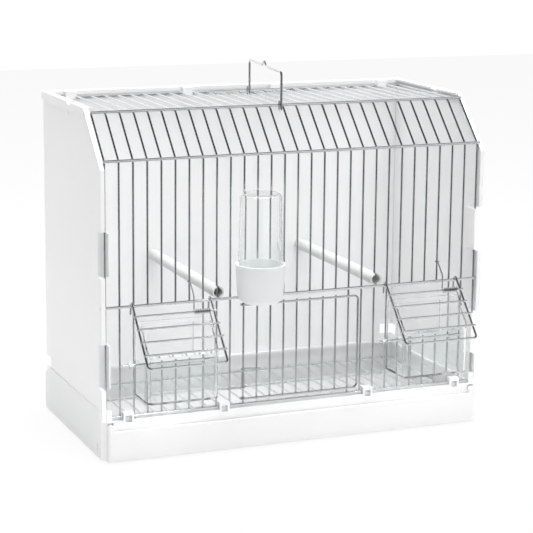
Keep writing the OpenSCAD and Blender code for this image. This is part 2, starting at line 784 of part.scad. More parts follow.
module feeder_ear(x, back) {
    lip_y = rail_y + rail_r + loose;
    top_z = feed_rail_z + rail_r + loose;
    difference() {
        translate([x, back - 1.6, feed_rail_z - 2.4])
            cube([5, lip_y + 1.2 - back + 1.6, top_z - feed_rail_z + 4]);
        translate([x - 1, rail_y - rail_r - loose, feed_rail_z - 9])
            cube([7, 2*(rail_r + loose), top_z - feed_rail_z + 9]);
    }
}

module left_feeder() {
    color([0.85, 0.92, 0.95, 0.4]) feeder(0);
}

module right_feeder() {
    color([0.85, 0.92, 0.95, 0.4]) feeder(feed_step);
}

// Puts its children at a flap's hinge: X along the hinge from the left bar, and -Z
// down the flap, leaned out to the flap's resting angle
module at_flap(step) {
    placed() translate([wire_x(feed_wire + step) - flap_left, rail_y, mid_rail_z])
        rotate([-flap_lean, 0, 0]) children();
}

// Wire flap: a U-shaped frame, four cross wires and two hinge loops with tails
module flap(step) {
    at_flap(step) union() {
        translate([0, -flap_loop_r, 0]) rotate([90, 0, 0])
            bent_wire([[0, run_in], [0, -flap_len], [flap_w, -flap_len],
                [flap_w, run_in]], flap_bar_d, flap_corner_r);
        for (x = [0, flap_w]) translate([x, 0, 0]) rotate([90, 0, 90]) {
            ring(flap_loop_r, flap_bar_d, 90 - flap_lean, 180);
            // The tail hangs straight down when the flap is at rest
            rotate([0, 0, 90 - flap_lean]) translate([flap_loop_r, 0, 0])
                rod([0, run_in, 0], [0, -flap_tail, 0], flap_bar_d);
        }
        for (k = [1:4])
            rod([-flap_bar_d/2 - 1, -flap_wire_off, -k*flap_pitch],
                [flap_w + flap_bar_d/2 + 1, -flap_wire_off, -k*flap_pitch], wire_d);
    }
}

module left_flap() {
    color("dimgray") flap(0);
}

module right_flap() {
    color("dimgray") flap(feed_step);
}

// Coil of a flap spring round the first cross wire. Its lower arm lies behind the flap
// and reaches past the second cross wire. Its last turn ends at the back of the coil,
// below the grille wire that the upper arm holds, and points straight up there.
spring_wire = feed_wire + feed_gaps - 1;
flap_coil_last = round(8*(spring_turns + flap_lean/360));
flap_coil_angle = 180 - 45*flap_coil_last;
flap_coil_path = concat([
    [-(coil_r - 0.6), flap_pitch + 3.4, 0], [-coil_r, flap_pitch + 1.8, 0],
    [-coil_r, flap_pitch*0.55, 0], [-coil_r, 1.4, 0]],
    [for (i = [0:flap_coil_last])
        [coil_r*cos(180 - 45*i), -coil_r*sin(180 - 45*i), spring_pitch*i/8]],
    [[coil_r*cos(flap_coil_angle) + spring_d*sin(flap_coil_angle),
        -coil_r*sin(flap_coil_angle) + spring_d*cos(flap_coil_angle),
        spring_pitch*flap_coil_last/8]]);
echo(least_gap_of_flap_spring = least_gap(flap_coil_path, 5));

module flap_spring(step) {
    first_x = wire_x(spring_wire) - wire_x(feed_wire) + flap_left
        + spring_pitch*flap_coil_last/8;
    at_flap(step)
        translate([first_x, -flap_wire_off, -flap_pitch])
            // Local X points out of the flap, local Y down the flap and Z to the left
            multmatrix([[0, 0, -1, 0], [-1, 0, 0, 0], [0, -1, 0, 0], [0, 0, 0, 1]])
                swept_tube(flap_coil_path, spring_d/2, 6, [0, 0, 1]);
}

module left_flap_spring() {
    color("slategray") flap_spring(0);
}

module right_flap_spring() {
    color("slategray") flap_spring(feed_step);
}

// Upper arm of a flap spring: it rises from the end of the coil, bends to the grille
// and rings a grille wire, on which it slides as the flap opens
coil_axis = [rail_y - flap_pitch*sin(flap_lean) - flap_wire_off*cos(flap_lean),
    mid_rail_z - flap_pitch*cos(flap_lean) + flap_wire_off*sin(flap_lean)];
hook_r = wire_r + loose + spring_d/2;

module spring_arm(step) {
    x = wire_x(spring_wire + step);
    hook = [-hook_r, mid_rail_z + spring_hook_rise];
    placed() union() {
        translate([x, 0, 0]) rotate([90, 0, 90]) bent_wire([
            coil_axis + [coil_r, spring_d + 0.5],
            [coil_axis[0] + coil_r, mid_rail_z + spring_knee_rise], hook], spring_d, 2);
        translate([x, hook[0], hook[1]]) sphere(d = spring_d + 2*swell, $fn = fine);
        translate([x, 0, hook[1]]) ring(hook_r, spring_d, -90, 215);
    }
}

module left_spring_arm() {
    color("slategray") spring_arm(0);
}

module right_spring_arm() {
    color("slategray") spring_arm(feed_step);
}

// Door: a bent frame with an eye round the hinge wire at the top and the bottom
module door() {
    x = wire_x(door_wire);
    width = door_gaps*wire_pitch + door_over;
    color("dimgray") placed() translate([x, 0, 0]) union() {
        translate([0, -door_eye_r, 0]) rotate([90, 0, 0])
            bent_wire([[-run_in, door_top_z], [width, door_top_z], [width, door_low_z],
                [-run_in, door_low_z]], door_bar_d, door_corner_r);
        for (z = [door_top_z, door_low_z]) translate([0, 0, z])
            ring(door_eye_r, door_bar_d, 20, 270);
        for (k = [1:door_gaps - 1])
            rod([k*wire_pitch, door_wire_y, door_low_z - door_bar_d/2 - wire_tail],
                [k*wire_pitch, door_wire_y, door_top_z + door_bar_d/2 + wire_tail], wire_d);
    }
}

// Coil of the door spring round the hinge wire. Its lower arm runs behind the next
// grille wire.
door_coil_path = concat(
    [[-wire_pitch - 5.2, coil_r, 0], [-wire_pitch*0.5, coil_r, 0], [-1.4, coil_r, 0]],
    [for (p = coil_points(spring_turns, 90)) [-p[0], p[1], p[2]]],
    [[spring_d, coil_r, spring_pitch*spring_turns]]);
echo(least_gap_of_door_spring = least_gap(door_coil_path, 5));

module door_spring() {
    color("slategray") placed() translate([wire_x(door_wire), 0, door_spring_z])
        swept_tube(door_coil_path, spring_d/2, 6, [0, 0, 1]);
}

// Upper end of the door spring: one turn that goes round with the door, and an arm
// that bears on the first door wire
module door_spring_arm() {
    rise = spring_pitch*spring_turns + spring_d + 0.5;
    reach = [wire_pitch, door_wire_y - wire_r - spring_d/2 - 0.1];
    start = atan2(reach[1], reach[0]) + acos(coil_r/norm(reach));
    foot = coil_r*[cos(start), sin(start)];
    way = unit(reach - foot);
    arm = [for (t = [1.4, 0.55*norm(reach - foot), norm(reach - foot), norm(reach - foot) + 3])
        [foot[0] + t*way[0], foot[1] + t*way[1], spring_pitch]];
    path = concat([[foot[0] - spring_d*sin(start), foot[1] + spring_d*cos(start), 0]],
        [for (i = [0:8]) [coil_r*cos(start - 45*i), coil_r*sin(start - 45*i),
            spring_pitch*i/8]], arm);
    echo(least_gap_of_door_spring_arm = least_gap(path, 5));
    color("slategray") placed() translate([wire_x(door_wire), 0, door_spring_z + rise])
        swept_tube(path, spring_d/2, 6, [0, 0, 1]);
}

// Drinker cup with a spout that passes between two wires and rests on the rail
module drinker_cup() {
    spout_w = wire_pitch - wire_d - 2*loose;
    seat_h = cup_h - tube_in_cup - 0.2;
    color("white") placed() difference() {
        union() {
            translate([cup_x, cup_y, cup_z]) rotate_extrude($fn = 96) cup_profile(0, cup_h);
            translate([cup_x - spout_w/2, cup_y + 10, spout_z])
                cube([spout_w, -cup_y - 10 + spout_in, spout_h]);
        }
        // Well of the cup, and above its ledge the wider mouth for the tube
        translate([cup_x, cup_y, cup_z]) rotate_extrude($fn = 96)
            cup_profile(cup_t + cup_ledge, seat_h + 0.5);
        translate([cup_x, cup_y, cup_z + seat_h])
            cylinder(r1 = cup_r_at(seat_h) - cup_t, r2 = cup_r_at(cup_h + 1) - cup_t,
                h = cup_h + 1 - seat_h, $fn = 96);
        translate([cup_x - spout_w/2 + 1.3, cup_y, spout_z + 1.3])
            cube([spout_w - 2.6, -cup_y + spout_in - 1.3, spout_h]);
    }
}

// Outside radius of the cup at a height
function cup_r_at(z) =
    cup_foot_r + (cup_r - cup_foot_r)*(z - cup_round)/(cup_h - cup_round);

// Half section of the cup up to a height, drawn in by a wall's thickness
module cup_profile(wall, top) {
    round_r = cup_round - wall;
    polygon([[0, cup_round], [cup_foot_r - wall, cup_round], [cup_r_at(top) - wall, top],
        [0, top]]);
    translate([0, wall]) square([cup_foot_r - cup_round, cup_round - wall + 0.01]);
    intersection() {
        translate([cup_foot_r - cup_round, cup_round]) circle(r = round_r, $fn = 64);
        square([cup_foot_r, cup_round + 0.01]);
    }
}

// Clear drinker tube: closed at the top, open at the foot, standing in the cup
module drinker_tube() {
    foot = cup_z + cup_h - tube_in_cup;
    height = tube_in_cup + tube_rise;
    color([0.85, 0.92, 0.95, 0.4]) placed() translate([cup_x, cup_y, foot])
        rotate_extrude($fn = 96) difference() {
            tube_profile(0, height);
            translate([0, -0.01]) tube_profile(tube_t, height - tube_t);
        }
}

module tube_profile(wall, height) {
    round_r = tube_round - wall;
    polygon([[0, 0], [tube_foot_r - wall, 0], [tube_top_r - wall, height - round_r],
        [tube_top_r - wall - round_r, height - round_r], [tube_top_r - wall - round_r, height],
        [0, height]]);
    intersection() {
        translate([tube_top_r - wall - round_r, height - round_r])
            circle(r = round_r, $fn = 64);
        translate([tube_top_r - wall - round_r, height - round_r]) square(2*round_r);
    }
}

// Perch: a hollow tube, slotted at the front for the wire that it is pushed over
module perch(number) {
    color("white") placed() translate([wire_x(number), 0, perch_z]) difference() {
        rod([0, -perch_out, 0], [0, back_in - loose, 0], perch_d);
        rod([0, -perch_out - 1, 0], [0, back_in + 1, 0], perch_d - 2*perch_t);
        translate([-wire_r - 0.15, -perch_out - 1, -perch_d])
            cube([wire_d + 0.3, perch_out + 1 + wire_r + 0.4, 2*perch_d]);
    }
}

module left_perch() {
    perch(left_perch_wire);
}

module right_perch() {
    perch(right_perch_wire);
}

// Carrying handle: one bent wire with a hook at each foot and a kink at its top
module carry_handle() {
    front = [-handle_front_x, roof_rail_y, roof_rail_z];
    back = [handle_back_x, short_bar_y, short_bar_z];
    span = norm([back[0] - front[0], back[1] - front[1]]);
    tilt = atan2(back[2] - front[2], span);
    yaw = atan2(back[1] - front[1], back[0] - front[0]);
    leg_off = rail_r + 0.4 + handle_d/2;
    hook_low = leg_off - hook_drop;
    color("dimgray") placed() translate(front) rotate([0, 0, yaw]) rotate([90, -tilt, 0])
        union() {
            bent_wire([
                [-leg_off, hook_low - run_in], [-leg_off, handle_h],
                [span/2 - handle_kink_len, handle_h], [span/2, handle_h + handle_kink],
                [span/2 + handle_kink_len, handle_h], [span - leg_off, handle_h],
                [span - leg_off, hook_low - run_in]
            ], handle_d, 3);
            for (x = [0, span]) {
                translate([x, hook_low, 0]) ring(leg_off, handle_d, 180, 360);
                rod([x + leg_off, hook_low - run_in, 0], [x + leg_off, hook_low + 6, 0],
                    handle_d);
            }
        }
}

base_frame();
left_panel();
right_panel();
back_panel();
upper_grille();
lower_grille();
slope_grille();
roof_grille();
handle_bar();
tray();
floor_grille();
left_feeder();
right_feeder();
left_flap();
left_flap_spring();
left_spring_arm();
right_flap();
right_flap_spring();
right_spring_arm();
door();
door_spring();
door_spring_arm();
drinker_cup();
drinker_tube();
left_perch();
right_perch();
carry_handle();
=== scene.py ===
# %% [markdown]
# # A small show cage in white plastic, clear plastic and plated wire
# The solid model of the cage comes in first: walls, base, tray, wires and all the
# pieces that move. It already stands in metres where everything belongs, so this
# lesson never moves it. It only adds what a solid modeller is bad at: springs with
# round wire, soft moulded edges, and finishes that answer light as the real ones do.

import json
import math

import bmesh
import bpy
import numpy as np
from mathutils import Matrix


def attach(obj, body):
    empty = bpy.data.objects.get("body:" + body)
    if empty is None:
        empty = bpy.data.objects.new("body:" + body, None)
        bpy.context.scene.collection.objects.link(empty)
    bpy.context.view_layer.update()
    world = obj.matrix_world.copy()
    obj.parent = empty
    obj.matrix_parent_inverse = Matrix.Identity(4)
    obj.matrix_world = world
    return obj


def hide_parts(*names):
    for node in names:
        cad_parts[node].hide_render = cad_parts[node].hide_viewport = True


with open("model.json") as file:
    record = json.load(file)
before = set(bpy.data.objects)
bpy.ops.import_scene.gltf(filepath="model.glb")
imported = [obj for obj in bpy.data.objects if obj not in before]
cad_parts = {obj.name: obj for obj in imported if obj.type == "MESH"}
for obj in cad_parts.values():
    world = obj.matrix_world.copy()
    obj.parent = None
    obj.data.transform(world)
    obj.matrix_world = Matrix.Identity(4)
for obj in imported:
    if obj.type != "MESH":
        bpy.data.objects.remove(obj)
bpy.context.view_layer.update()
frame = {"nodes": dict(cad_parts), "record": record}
nodes = frame["nodes"]
print("nodes:", len(nodes))

# %% [markdown]
# ## The camera
# A picture of straight, evenly spaced wires is a ruler. Fitting the wires gives the
# camera's place, its turn and its long lens, and the two small shifts say that the
# picture was cropped a little off centre. A long lens from 1.7 m away keeps the
# uprights nearly parallel, which is how such a product is usually shown.

# %% Camera
YAW, TILT, ROLL = -0.401921, -0.196446, 0.011478  # radians
CAMERA_PLACE = (-0.630072, -1.508681, 0.495779)  # metres
LENS, SENSOR = 124.865, 36  # mm
SHIFT_X, SHIFT_Y = -0.02802, -0.05187  # shares of the picture's width
NEAREST, FARTHEST = 0.05, 20  # metres

ahead = np.array([math.sin(-YAW) * math.cos(TILT), math.cos(YAW) * math.cos(TILT),
                  math.sin(TILT)])
level = np.array([math.cos(YAW), math.sin(YAW), 0.0])
above = np.cross(level, ahead)
right = level * math.cos(ROLL) + above * math.sin(ROLL)
up = -level * math.sin(ROLL) + above * math.cos(ROLL)
camera_data = bpy.data.cameras.new("camera")
camera = bpy.data.objects.new("camera", camera_data)
bpy.context.scene.collection.objects.link(camera)
turn = np.eye(4)
turn[:3, 0], turn[:3, 1], turn[:3, 2] = right, up, -ahead
turn[:3, 3] = CAMERA_PLACE
camera.matrix_world = Matrix(turn.tolist())
camera_data.sensor_width = SENSOR
camera_data.lens = LENS
camera_data.shift_x, camera_data.shift_y = SHIFT_X, SHIFT_Y
camera_data.clip_start, camera_data.clip_end = NEAREST, FARTHEST
bpy.context.scene.camera = camera
print("camera looks along", ahead.round(3))

# %% [markdown]
# ## Numbers that the solid model is built from
# The new pieces sit on the old ones, so they need the same few sizes: the distance
# between wires, the height of the middle rail, and the lean of the flaps. They are
# given in millimetres as a workshop would, and one function turns a point into the
# scene's metres. Depth counts from the upright wires, and GRILLE_Y moves it to the
# middle of the cage.

# %% Shared sizes
MM = 1000  # in a metre
PITCH = 12.5  # from one upright wire to the next
MIDDLE_WIRE = 14
WIRE_R, RAIL_R = 0.9, 1.3
WELD = 0.3  # how far a rail sinks into the wires that it is welded to
MID_Z = 134.3  # height of the middle rail
RAIL_Y = -1.9  # depth of the rails that are welded across the uprights
GRILLE_Y = -61.682
LEAN_DEGREES = 42.5
LEAN = math.radians(LEAN_DEGREES)


def place(points):
    """Points in workshop millimetres, depth from the upright wires, as metres."""
    points = np.asarray(points, float)
    return (points + np.array([0, GRILLE_Y, 0])) / MM


def wire_x(number):
    """Where an upright wire stands, counted from 0 at the left to 28."""
    return (number - MIDDLE_WIRE) * PITCH


print("uprights from", wire_x(0), "to", wire_x(2 * MIDDLE_WIRE), "mm")

# %% [markdown]
# ## One way to make meshes
# Every new shape here is a grid of points: some number of rings, each with the same
# number of points. A grid can be built by arithmetic on whole arrays, and its faces
# follow from the order of the points. A wire is the plainest case: a circle carried
# along a path.

# %% Grid and wire helpers
WIRE_SIDES = 10
BEND_STEPS = 6
WIRE_SHARP = math.radians(60)


def mesh_from(name, points, faces):
    """A mesh object from an array of points in metres and a list of faces."""
    mesh = bpy.data.meshes.new(name)
    mesh.from_pydata(points.tolist(), [], faces)
    mesh.validate()
    mesh.update()
    piece = bpy.data.objects.new(name, mesh)
    bpy.context.scene.collection.objects.link(piece)
    return piece


def smooth_faces(piece, angle):
    """Smooth shading that keeps the edges sharper than an angle."""
    mesh = piece.data
    mesh.polygons.foreach_set("use_smooth", np.ones(len(mesh.polygons), bool))
    mesh.set_sharp_from_angle(angle=angle)


def grid_faces(rings, around):
    """Quads between rings of points, with a flat cap at each end: point k of ring i
    has the number i * around + k."""
    i, k = np.meshgrid(np.arange(rings - 1), np.arange(around), indexing="ij")
    a = i * around + k
    b = i * around + (k + 1) % around
    quads = np.stack([a, b, b + around, a + around], axis=-1).reshape(-1, 4).tolist()
    first = list(range(around))[::-1]
    last = list(range((rings - 1) * around, rings * around))
    return quads + [first, last]


def wire(name, path, radius, reference):
    """A round wire along a path in millimetres. At each point the circle lies across
    the path: one axis is path x reference, the other is at right angles to both."""
    path = np.asarray(path, float)
    along = np.gradient(path, axis=0)
    along /= np.linalg.norm(along, axis=1, keepdims=True)
    side = np.cross(along, reference)
    side /= np.linalg.norm(side, axis=1, keepdims=True)
    upward = np.cross(side, along)
    angle = np.linspace(0, 2 * math.pi, WIRE_SIDES, endpoint=False)[None, :, None]
    rings = path[:, None, :] + radius * (np.cos(angle) * side[:, None, :]
                                         + np.sin(angle) * upward[:, None, :])
    piece = mesh_from(name, place(rings.reshape(-1, 3)), grid_faces(len(path), WIRE_SIDES))
    mesh = bmesh.new()
    mesh.from_mesh(piece.data)
    bmesh.ops.recalc_face_normals(mesh, faces=mesh.faces)
    mesh.to_mesh(piece.data)
    mesh.free()
    smooth_faces(piece, WIRE_SHARP)
    return piece


def bend(points, radius):
    """A path through corners, each rounded by the curve (1-t)^2 a + 2t(1-t) corner
    + t^2 b, whose ends a and b lie one radius from the corner."""
    points = np.asarray(points, float)
    path = [points[:1]]
    t = np.linspace(0, 1, BEND_STEPS + 1)[:, None]
    for before, corner, after in zip(points[:-2], points[1:-1], points[2:]):
        a = corner + (before - corner) / np.linalg.norm(before - corner) * radius
        b = corner + (after - corner) / np.linalg.norm(after - corner) * radius
        path.append((1 - t) ** 2 * a + 2 * t * (1 - t) * corner + t ** 2 * b)
    return np.vstack(path + [points[-1:]])


# %% [markdown]
# ## Finishes
# Colours are written as a painter would pick them on a screen, in sRGB hex. Shaders
# work in linear light, so one function turns the first into the second. Another adds
# any node to a material with its settings and links, and three more add the kinds of
# node that come up again and again, which keeps each recipe short enough to read.

# %% Colour and node helpers
WHITE = (1, 1, 1, 1)


def colour(text):
    """An sRGB hex colour as linear RGBA: v / 12.92 below 0.04045, and above it
    ((v + 0.055) / 1.055) ^ 2.4."""
    v = np.array([int(text[i:i + 2], 16) for i in (1, 3, 5)]) / 255
    v = np.where(v <= 0.04045, v / 12.92, ((v + 0.055) / 1.055) ** 2.4)
    return [*v.tolist(), 1.0]


def add(material, kind, links=None, **settings):
    """Adds a node, sets its inputs and properties, and links {input: (node, output)}."""
    made = material.node_tree.nodes.new(kind)
    for key, value in settings.items():
        if hasattr(made, key):
            setattr(made, key, value)
        else:
            made.inputs[key.replace("_", " ")].default_value = value
    for key, (source, output) in (links or {}).items():
        material.node_tree.links.new(source.outputs[output], made.inputs[key])
    return made


def maths(material, operation, first, second):
    """A Math node on two terms, each a number or the pair (node, output)."""
    made = add(material, "ShaderNodeMath", operation=operation)
    for term, socket in zip((first, second), made.inputs):
        if isinstance(term, tuple):
            material.node_tree.links.new(term[0].outputs[term[1]], socket)
        else:
            socket.default_value = term
    return made


def mixed_colour(material, factor, first, second):
    """A Mix node from one hex colour to another by the pair (node, output)."""
    made = add(material, "ShaderNodeMix", {0: factor}, data_type="RGBA")
    made.inputs[6].default_value = colour(first)
    made.inputs[7].default_value = colour(second)
    return made


def noise(material, where, scale, detail, roughness):
    """A Noise node over the object's own metres: a wave is about 1 / scale long."""
    return add(material, "ShaderNodeTexNoise", {"Vector": (where, "Object")},
               Scale=scale, Detail=detail, Roughness=roughness)


def blank(name):
    """A new material with an empty node tree and its output node."""
    material = bpy.data.materials.new(name)
    material.use_nodes = True
    material.node_tree.nodes.clear()
    return material, material.node_tree.nodes.new("ShaderNodeOutputMaterial")


def finish_with(material, output, shader):
    """Links a shader to the material's output and gives the material back."""
    material.node_tree.links.new(shader.outputs[0], output.inputs["Surface"])
    return material


# %% [markdown]
# ## Moulded white polystyrene
# The walls, the base and the tray are injection moulded in glossy white polystyrene.
# The base and the tray are given a greyer white than the walls: painted shade on the
# same plastic.
# A polished mould gives a soft gloss, but the skin is never quite even: the melt
# flows and cools in broad, faint waves, which show where something is mirrored. A
# large noise in the bump gives those waves and tints the white by a step or two in
# a hundred, and a fine one gives the skin's slight texture.

# %% White polystyrene
def moulded_white(name, base, shade, roughness, through=0.0):
    """Injection-moulded polystyrene: two tints a little apart, waves of 40 mm, a
    roughness that the skin varies, and a share of light that comes through."""
    material, output = blank(name)
    where = add(material, "ShaderNodeTexCoord")
    waves = noise(material, where, scale=25.0, detail=2.0, roughness=0.4)
    skin = noise(material, where, scale=900.0, detail=2.0, roughness=0.5)
    tint = mixed_colour(material, (waves, "Fac"), base, shade)
    rough = add(material, "ShaderNodeMapRange", {"Value": (skin, "Fac")},
                To_Min=roughness - 0.04, To_Max=roughness + 0.06)
    broad = add(material, "ShaderNodeBump", {"Height": (waves, "Fac")},
                Strength=0.25, Distance=0.0006)
    relief = add(material, "ShaderNodeBump",
                 {"Height": (skin, "Fac"), "Normal": (broad, "Normal")},
                 Strength=0.15, Distance=0.00005)
    shader = add(material, "ShaderNodeBsdfPrincipled",
                 {"Base Color": (tint, 2), "Roughness": (rough, "Result"),
                  "Normal": (relief, "Normal")}, IOR=1.55)
    if through == 0:
        return finish_with(material, output, shader)
    glow = add(material, "ShaderNodeBsdfTranslucent", {"Color": (tint, 2)})
    share = add(material, "ShaderNodeMixShader", {1: (shader, 0), 2: (glow, 0)},
                Fac=through)
    return finish_with(material, output, share)


# The base's and the tray's greyer whites are painted shade; all three are one plastic.
wall_white = moulded_white("moulded_polystyrene_walls", "#FAFAFA", "#F6F7F7", 0.38)
tray_white_painted_shade = moulded_white("moulded_polystyrene_tray_painted_shade", "#E9E9E9", "#E6E7E6", 0.32)
base_white_painted_shade = moulded_white("moulded_polystyrene_base_painted_shade", "#F2F3F3", "#EEEFEF", 0.34)
cup_white = moulded_white("moulded_polystyrene_drinker_cup", "#F6F7F7", "#F1F2F3", 0.3,
                          through=0.3)
perch_grey = moulded_white("extruded_polypropylene_perch", "#DADCDA", "#D2D5D3", 0.5)
print("white plastics made")

# %% [markdown]
# ## Clear polystyrene
# The feeders and the drinker's tube are the same plastic without its pigment. It bends
# light, which draws the bright and dark lines along its edges, and its faces are
# polished, so all that you see of a wall is its edge and a faint reflection. The real
# index is 1.59; 1.4 is set here, because it keeps the edges' lines as faint as the
# picture has them. A little waviness keeps the reflections from being ruler straight.
# Thin clear walls throw next to no shadow, so light on its way to another surface is
# let straight through with a loss of one part in a hundred. Light that runs along
# inside a wall leaves it at the next edge, so after four turns it is let out the same
# way, and the edges stay pale.

# %% Clear polystyrene
TRAPPED_AFTER = 4.0  # turns of a ray


def moulded_clear(name, tint):
    """Transparent injection-moulded polystyrene with 20 mm waves in its faces."""
    material, output = blank(name)
    where = add(material, "ShaderNodeTexCoord")
    waves = noise(material, where, scale=50.0, detail=1.0, roughness=0.4)
    relief = add(material, "ShaderNodeBump", {"Height": (waves, "Fac")},
                 Strength=0.2, Distance=0.0004)
    solid = add(material, "ShaderNodeBsdfPrincipled", {"Normal": (relief, "Normal")},
                Base_Color=colour(tint), Roughness=0.02, IOR=1.4, Transmission_Weight=1.0)
    shadow = add(material, "ShaderNodeBsdfTransparent", Color=(0.985, 0.99, 0.99, 1))
    ray = add(material, "ShaderNodeLightPath")
    trapped = maths(material, "GREATER_THAN", (ray, "Ray Depth"), TRAPPED_AFTER)
    straight = maths(material, "MAXIMUM", (ray, "Is Shadow Ray"), (trapped, 0))
    shader = add(material, "ShaderNodeMixShader",
                 {0: (straight, 0), 1: (solid, "BSDF"), 2: (shadow, "BSDF")})
    return finish_with(material, output, shader)


clear_plastic = moulded_clear("clear_polystyrene", "#FEFFFF")
print("clear plastic made")

# %% [markdown]
# ## Plated wire
# The grille is welded from drawn steel wire and then plated. A thin round wire
# mirrors the whole room squeezed into a few tenths of a millimetre, dark room and
# pale backdrop side by side, so from a step away it reads as dark grey with pale
# rims. The thicker cross rails mirror a bright screen along their whole length, and
# their colour is also painted lighter than the uprights': a painted reflection on the
# same wire. Drawing leaves fine lines along the wire, which the roughness shows as
# a slightly streaked shine.

# %% Plated wire
# How far from a rail's axis its painted reflection, the lighter rail tone, reaches.
RAIL_SHEEN_REACH = 1.36  # mm from a rail's axis: its radius and a little more


def plated_wire(name, tone, rail_sheen_tone=None, rails=(), roughness=0.18):
    """Plated steel in one tone. Where rails are given, each by its axis's (depth,
    height) in mm, a point within reach of one is painted in the rails' tone instead,
    a painted reflection of the bright screen along them."""
    material, output = blank(name)
    where = add(material, "ShaderNodeTexCoord")
    streaks = noise(material, where, scale=600.0, detail=3.0, roughness=0.6)
    rough = add(material, "ShaderNodeMapRange", {"Value": (streaks, "Fac")},
                To_Min=roughness - 0.07, To_Max=roughness + 0.1)
    shader = add(material, "ShaderNodeBsdfPrincipled", {"Roughness": (rough, "Result")},
                 Base_Color=colour(tone), Metallic=1.0)
    if not rails:
        return finish_with(material, output, shader)
    flat = add(material, "ShaderNodeVectorMath", {0: (where, "Object")},
               operation="MULTIPLY")
    flat.inputs[1].default_value = (0, 1, 1)
    near = None
    for depth, height in rails:
        away = add(material, "ShaderNodeVectorMath", {0: (flat, 0)}, operation="DISTANCE")
        away.inputs[1].default_value = (0, (depth + GRILLE_Y) / MM, height / MM)
        on = maths(material, "LESS_THAN", (away, "Value"), RAIL_SHEEN_REACH / MM)
        near = on if near is None else maths(material, "MAXIMUM", (near, 0), (on, 0))
    # The rails' tone, lighter than the wire's own, is a painted reflection.
    tint = mixed_colour(material, (near, 0), tone, rail_sheen_tone)
    material.node_tree.links.new(tint.outputs[2], shader.inputs["Base Color"])
    return finish_with(material, output, shader)


# %% [markdown]
# Six rails cross the uprights: three on the upright part, one on each bend and one at
# the rear of the roof. A bend rounds its corner off, so the rails there lie a little
# closer in: by bend radius x (1 / cos 22.5 - 1), half the bend's angle being 22.5
# degrees. The rails are painted in a lighter tone than the uprights, a painted
# reflection. The wires of the roof, the floor, the flaps and the handle look paler
# than the upright grille, so their metal is given a paler tone: painted light, since
# all of them are the same plated steel.

# %% Rails and wire finishes
BEND_R = 5
HALF_BEND = math.radians(22.5)
BOTTOM_RAIL_Z, FEED_RAIL_Z = 38.3, 82.8
LOW_BEND_Z = 258
HIGH_BEND_Y, HIGH_BEND_Z = 35.5, 293.5
REAR_RAIL = (161.0, 291.6)

SIN, COS = math.sin(HALF_BEND), math.cos(HALF_BEND)
bend_off = WIRE_R + RAIL_R - WELD - BEND_R * (1 / COS - 1)
rail_axes = [(RAIL_Y, MID_Z), (RAIL_Y, BOTTOM_RAIL_Z), (RAIL_Y, FEED_RAIL_Z),
             (-bend_off * COS, LOW_BEND_Z + bend_off * SIN),
             (HIGH_BEND_Y - bend_off * SIN, HIGH_BEND_Z + bend_off * COS), REAR_RAIL]
# The rails' tone is a painted reflection, and the paler tones of the roof, floor, flap and
# handle wires are painted light on the same plated steel.
grille_wire_painted_rail_sheen = plated_wire("plated_steel_grille_painted_rail_sheen", "#C4C7C9", "#DCDEDF", rail_axes)
roof_wire_painted_light = plated_wire("plated_steel_roof_painted_light", "#F6F8F9", "#DCDEDF", rail_axes)
flap_wire_painted_light = plated_wire("plated_steel_flap_painted_light", "#D8DADC")
floor_wire_painted_light = plated_wire("plated_steel_floor_painted_light", "#ECEFF2")
handle_wire_painted_light = plated_wire("plated_steel_handle_painted_light", "#E6E8E9")
spring_wire = plated_wire("drawn_spring_steel", "#DADCDE", roughness=0.16)
print("wire finishes made for", len(rail_axes), "rails")

# %% [markdown]
# ## Springs
# Each flap is pulled shut by a coil wound on its first cross wire, and the door by
# one on its hinge wire. The solid model has them with six flat sides. Here the same
# path carries a round wire: arm, coil and tail in one unbroken curve.
#
# A flap's spring is laid out in the flap's own axes, then leaned out with the flap.
# Its coil ends where it points straight up to the arm that holds the grille, which
# takes the turns, a little more for the lean, rounded to an eighth.

# %% Flap springs
COIL_R = 1.85
COIL_PITCH = 2.0
SPRING_R = 0.6
SPRING_TURNS = 7
EIGHTHS = 8
COIL_STEPS = 4  # rings of points to an eighth of a turn
FEED_WIRE = 2  # the upright at the left flap's left side
FEED_STEP = 19  # from there to the one at the right flap's
SPRING_GAPS = 4  # from a flap's own upright to the one that its spring's arm holds
FLAP_LEFT = 2.4  # how far the flap reaches to the left of its upright
FLAP_WIRE_OUT = 4.2  # the cross wires' distance out from the hinge
ARM_TIP, ARM_KNEE = 3.4, 1.8  # the lower arm's end and its bend, past a cross wire
ARM_FOOT = 0.5  # where it leaves the coil
ARM_TURN_IN, ARM_BEND_R = 0.6, 0.8


def flap_points(points, step):
    """From the flap's own axes to the cage: x along the hinge, out of the flap, and
    down the flap; the flap leans out by LEAN about the middle rail."""
    x, out, down = np.asarray(points, float).T
    return np.stack([wire_x(FEED_WIRE + step) - FLAP_LEFT + x,
                     RAIL_Y - down * math.sin(LEAN) - out * math.cos(LEAN),
                     MID_Z - down * math.cos(LEAN) + out * math.sin(LEAN)], axis=1)


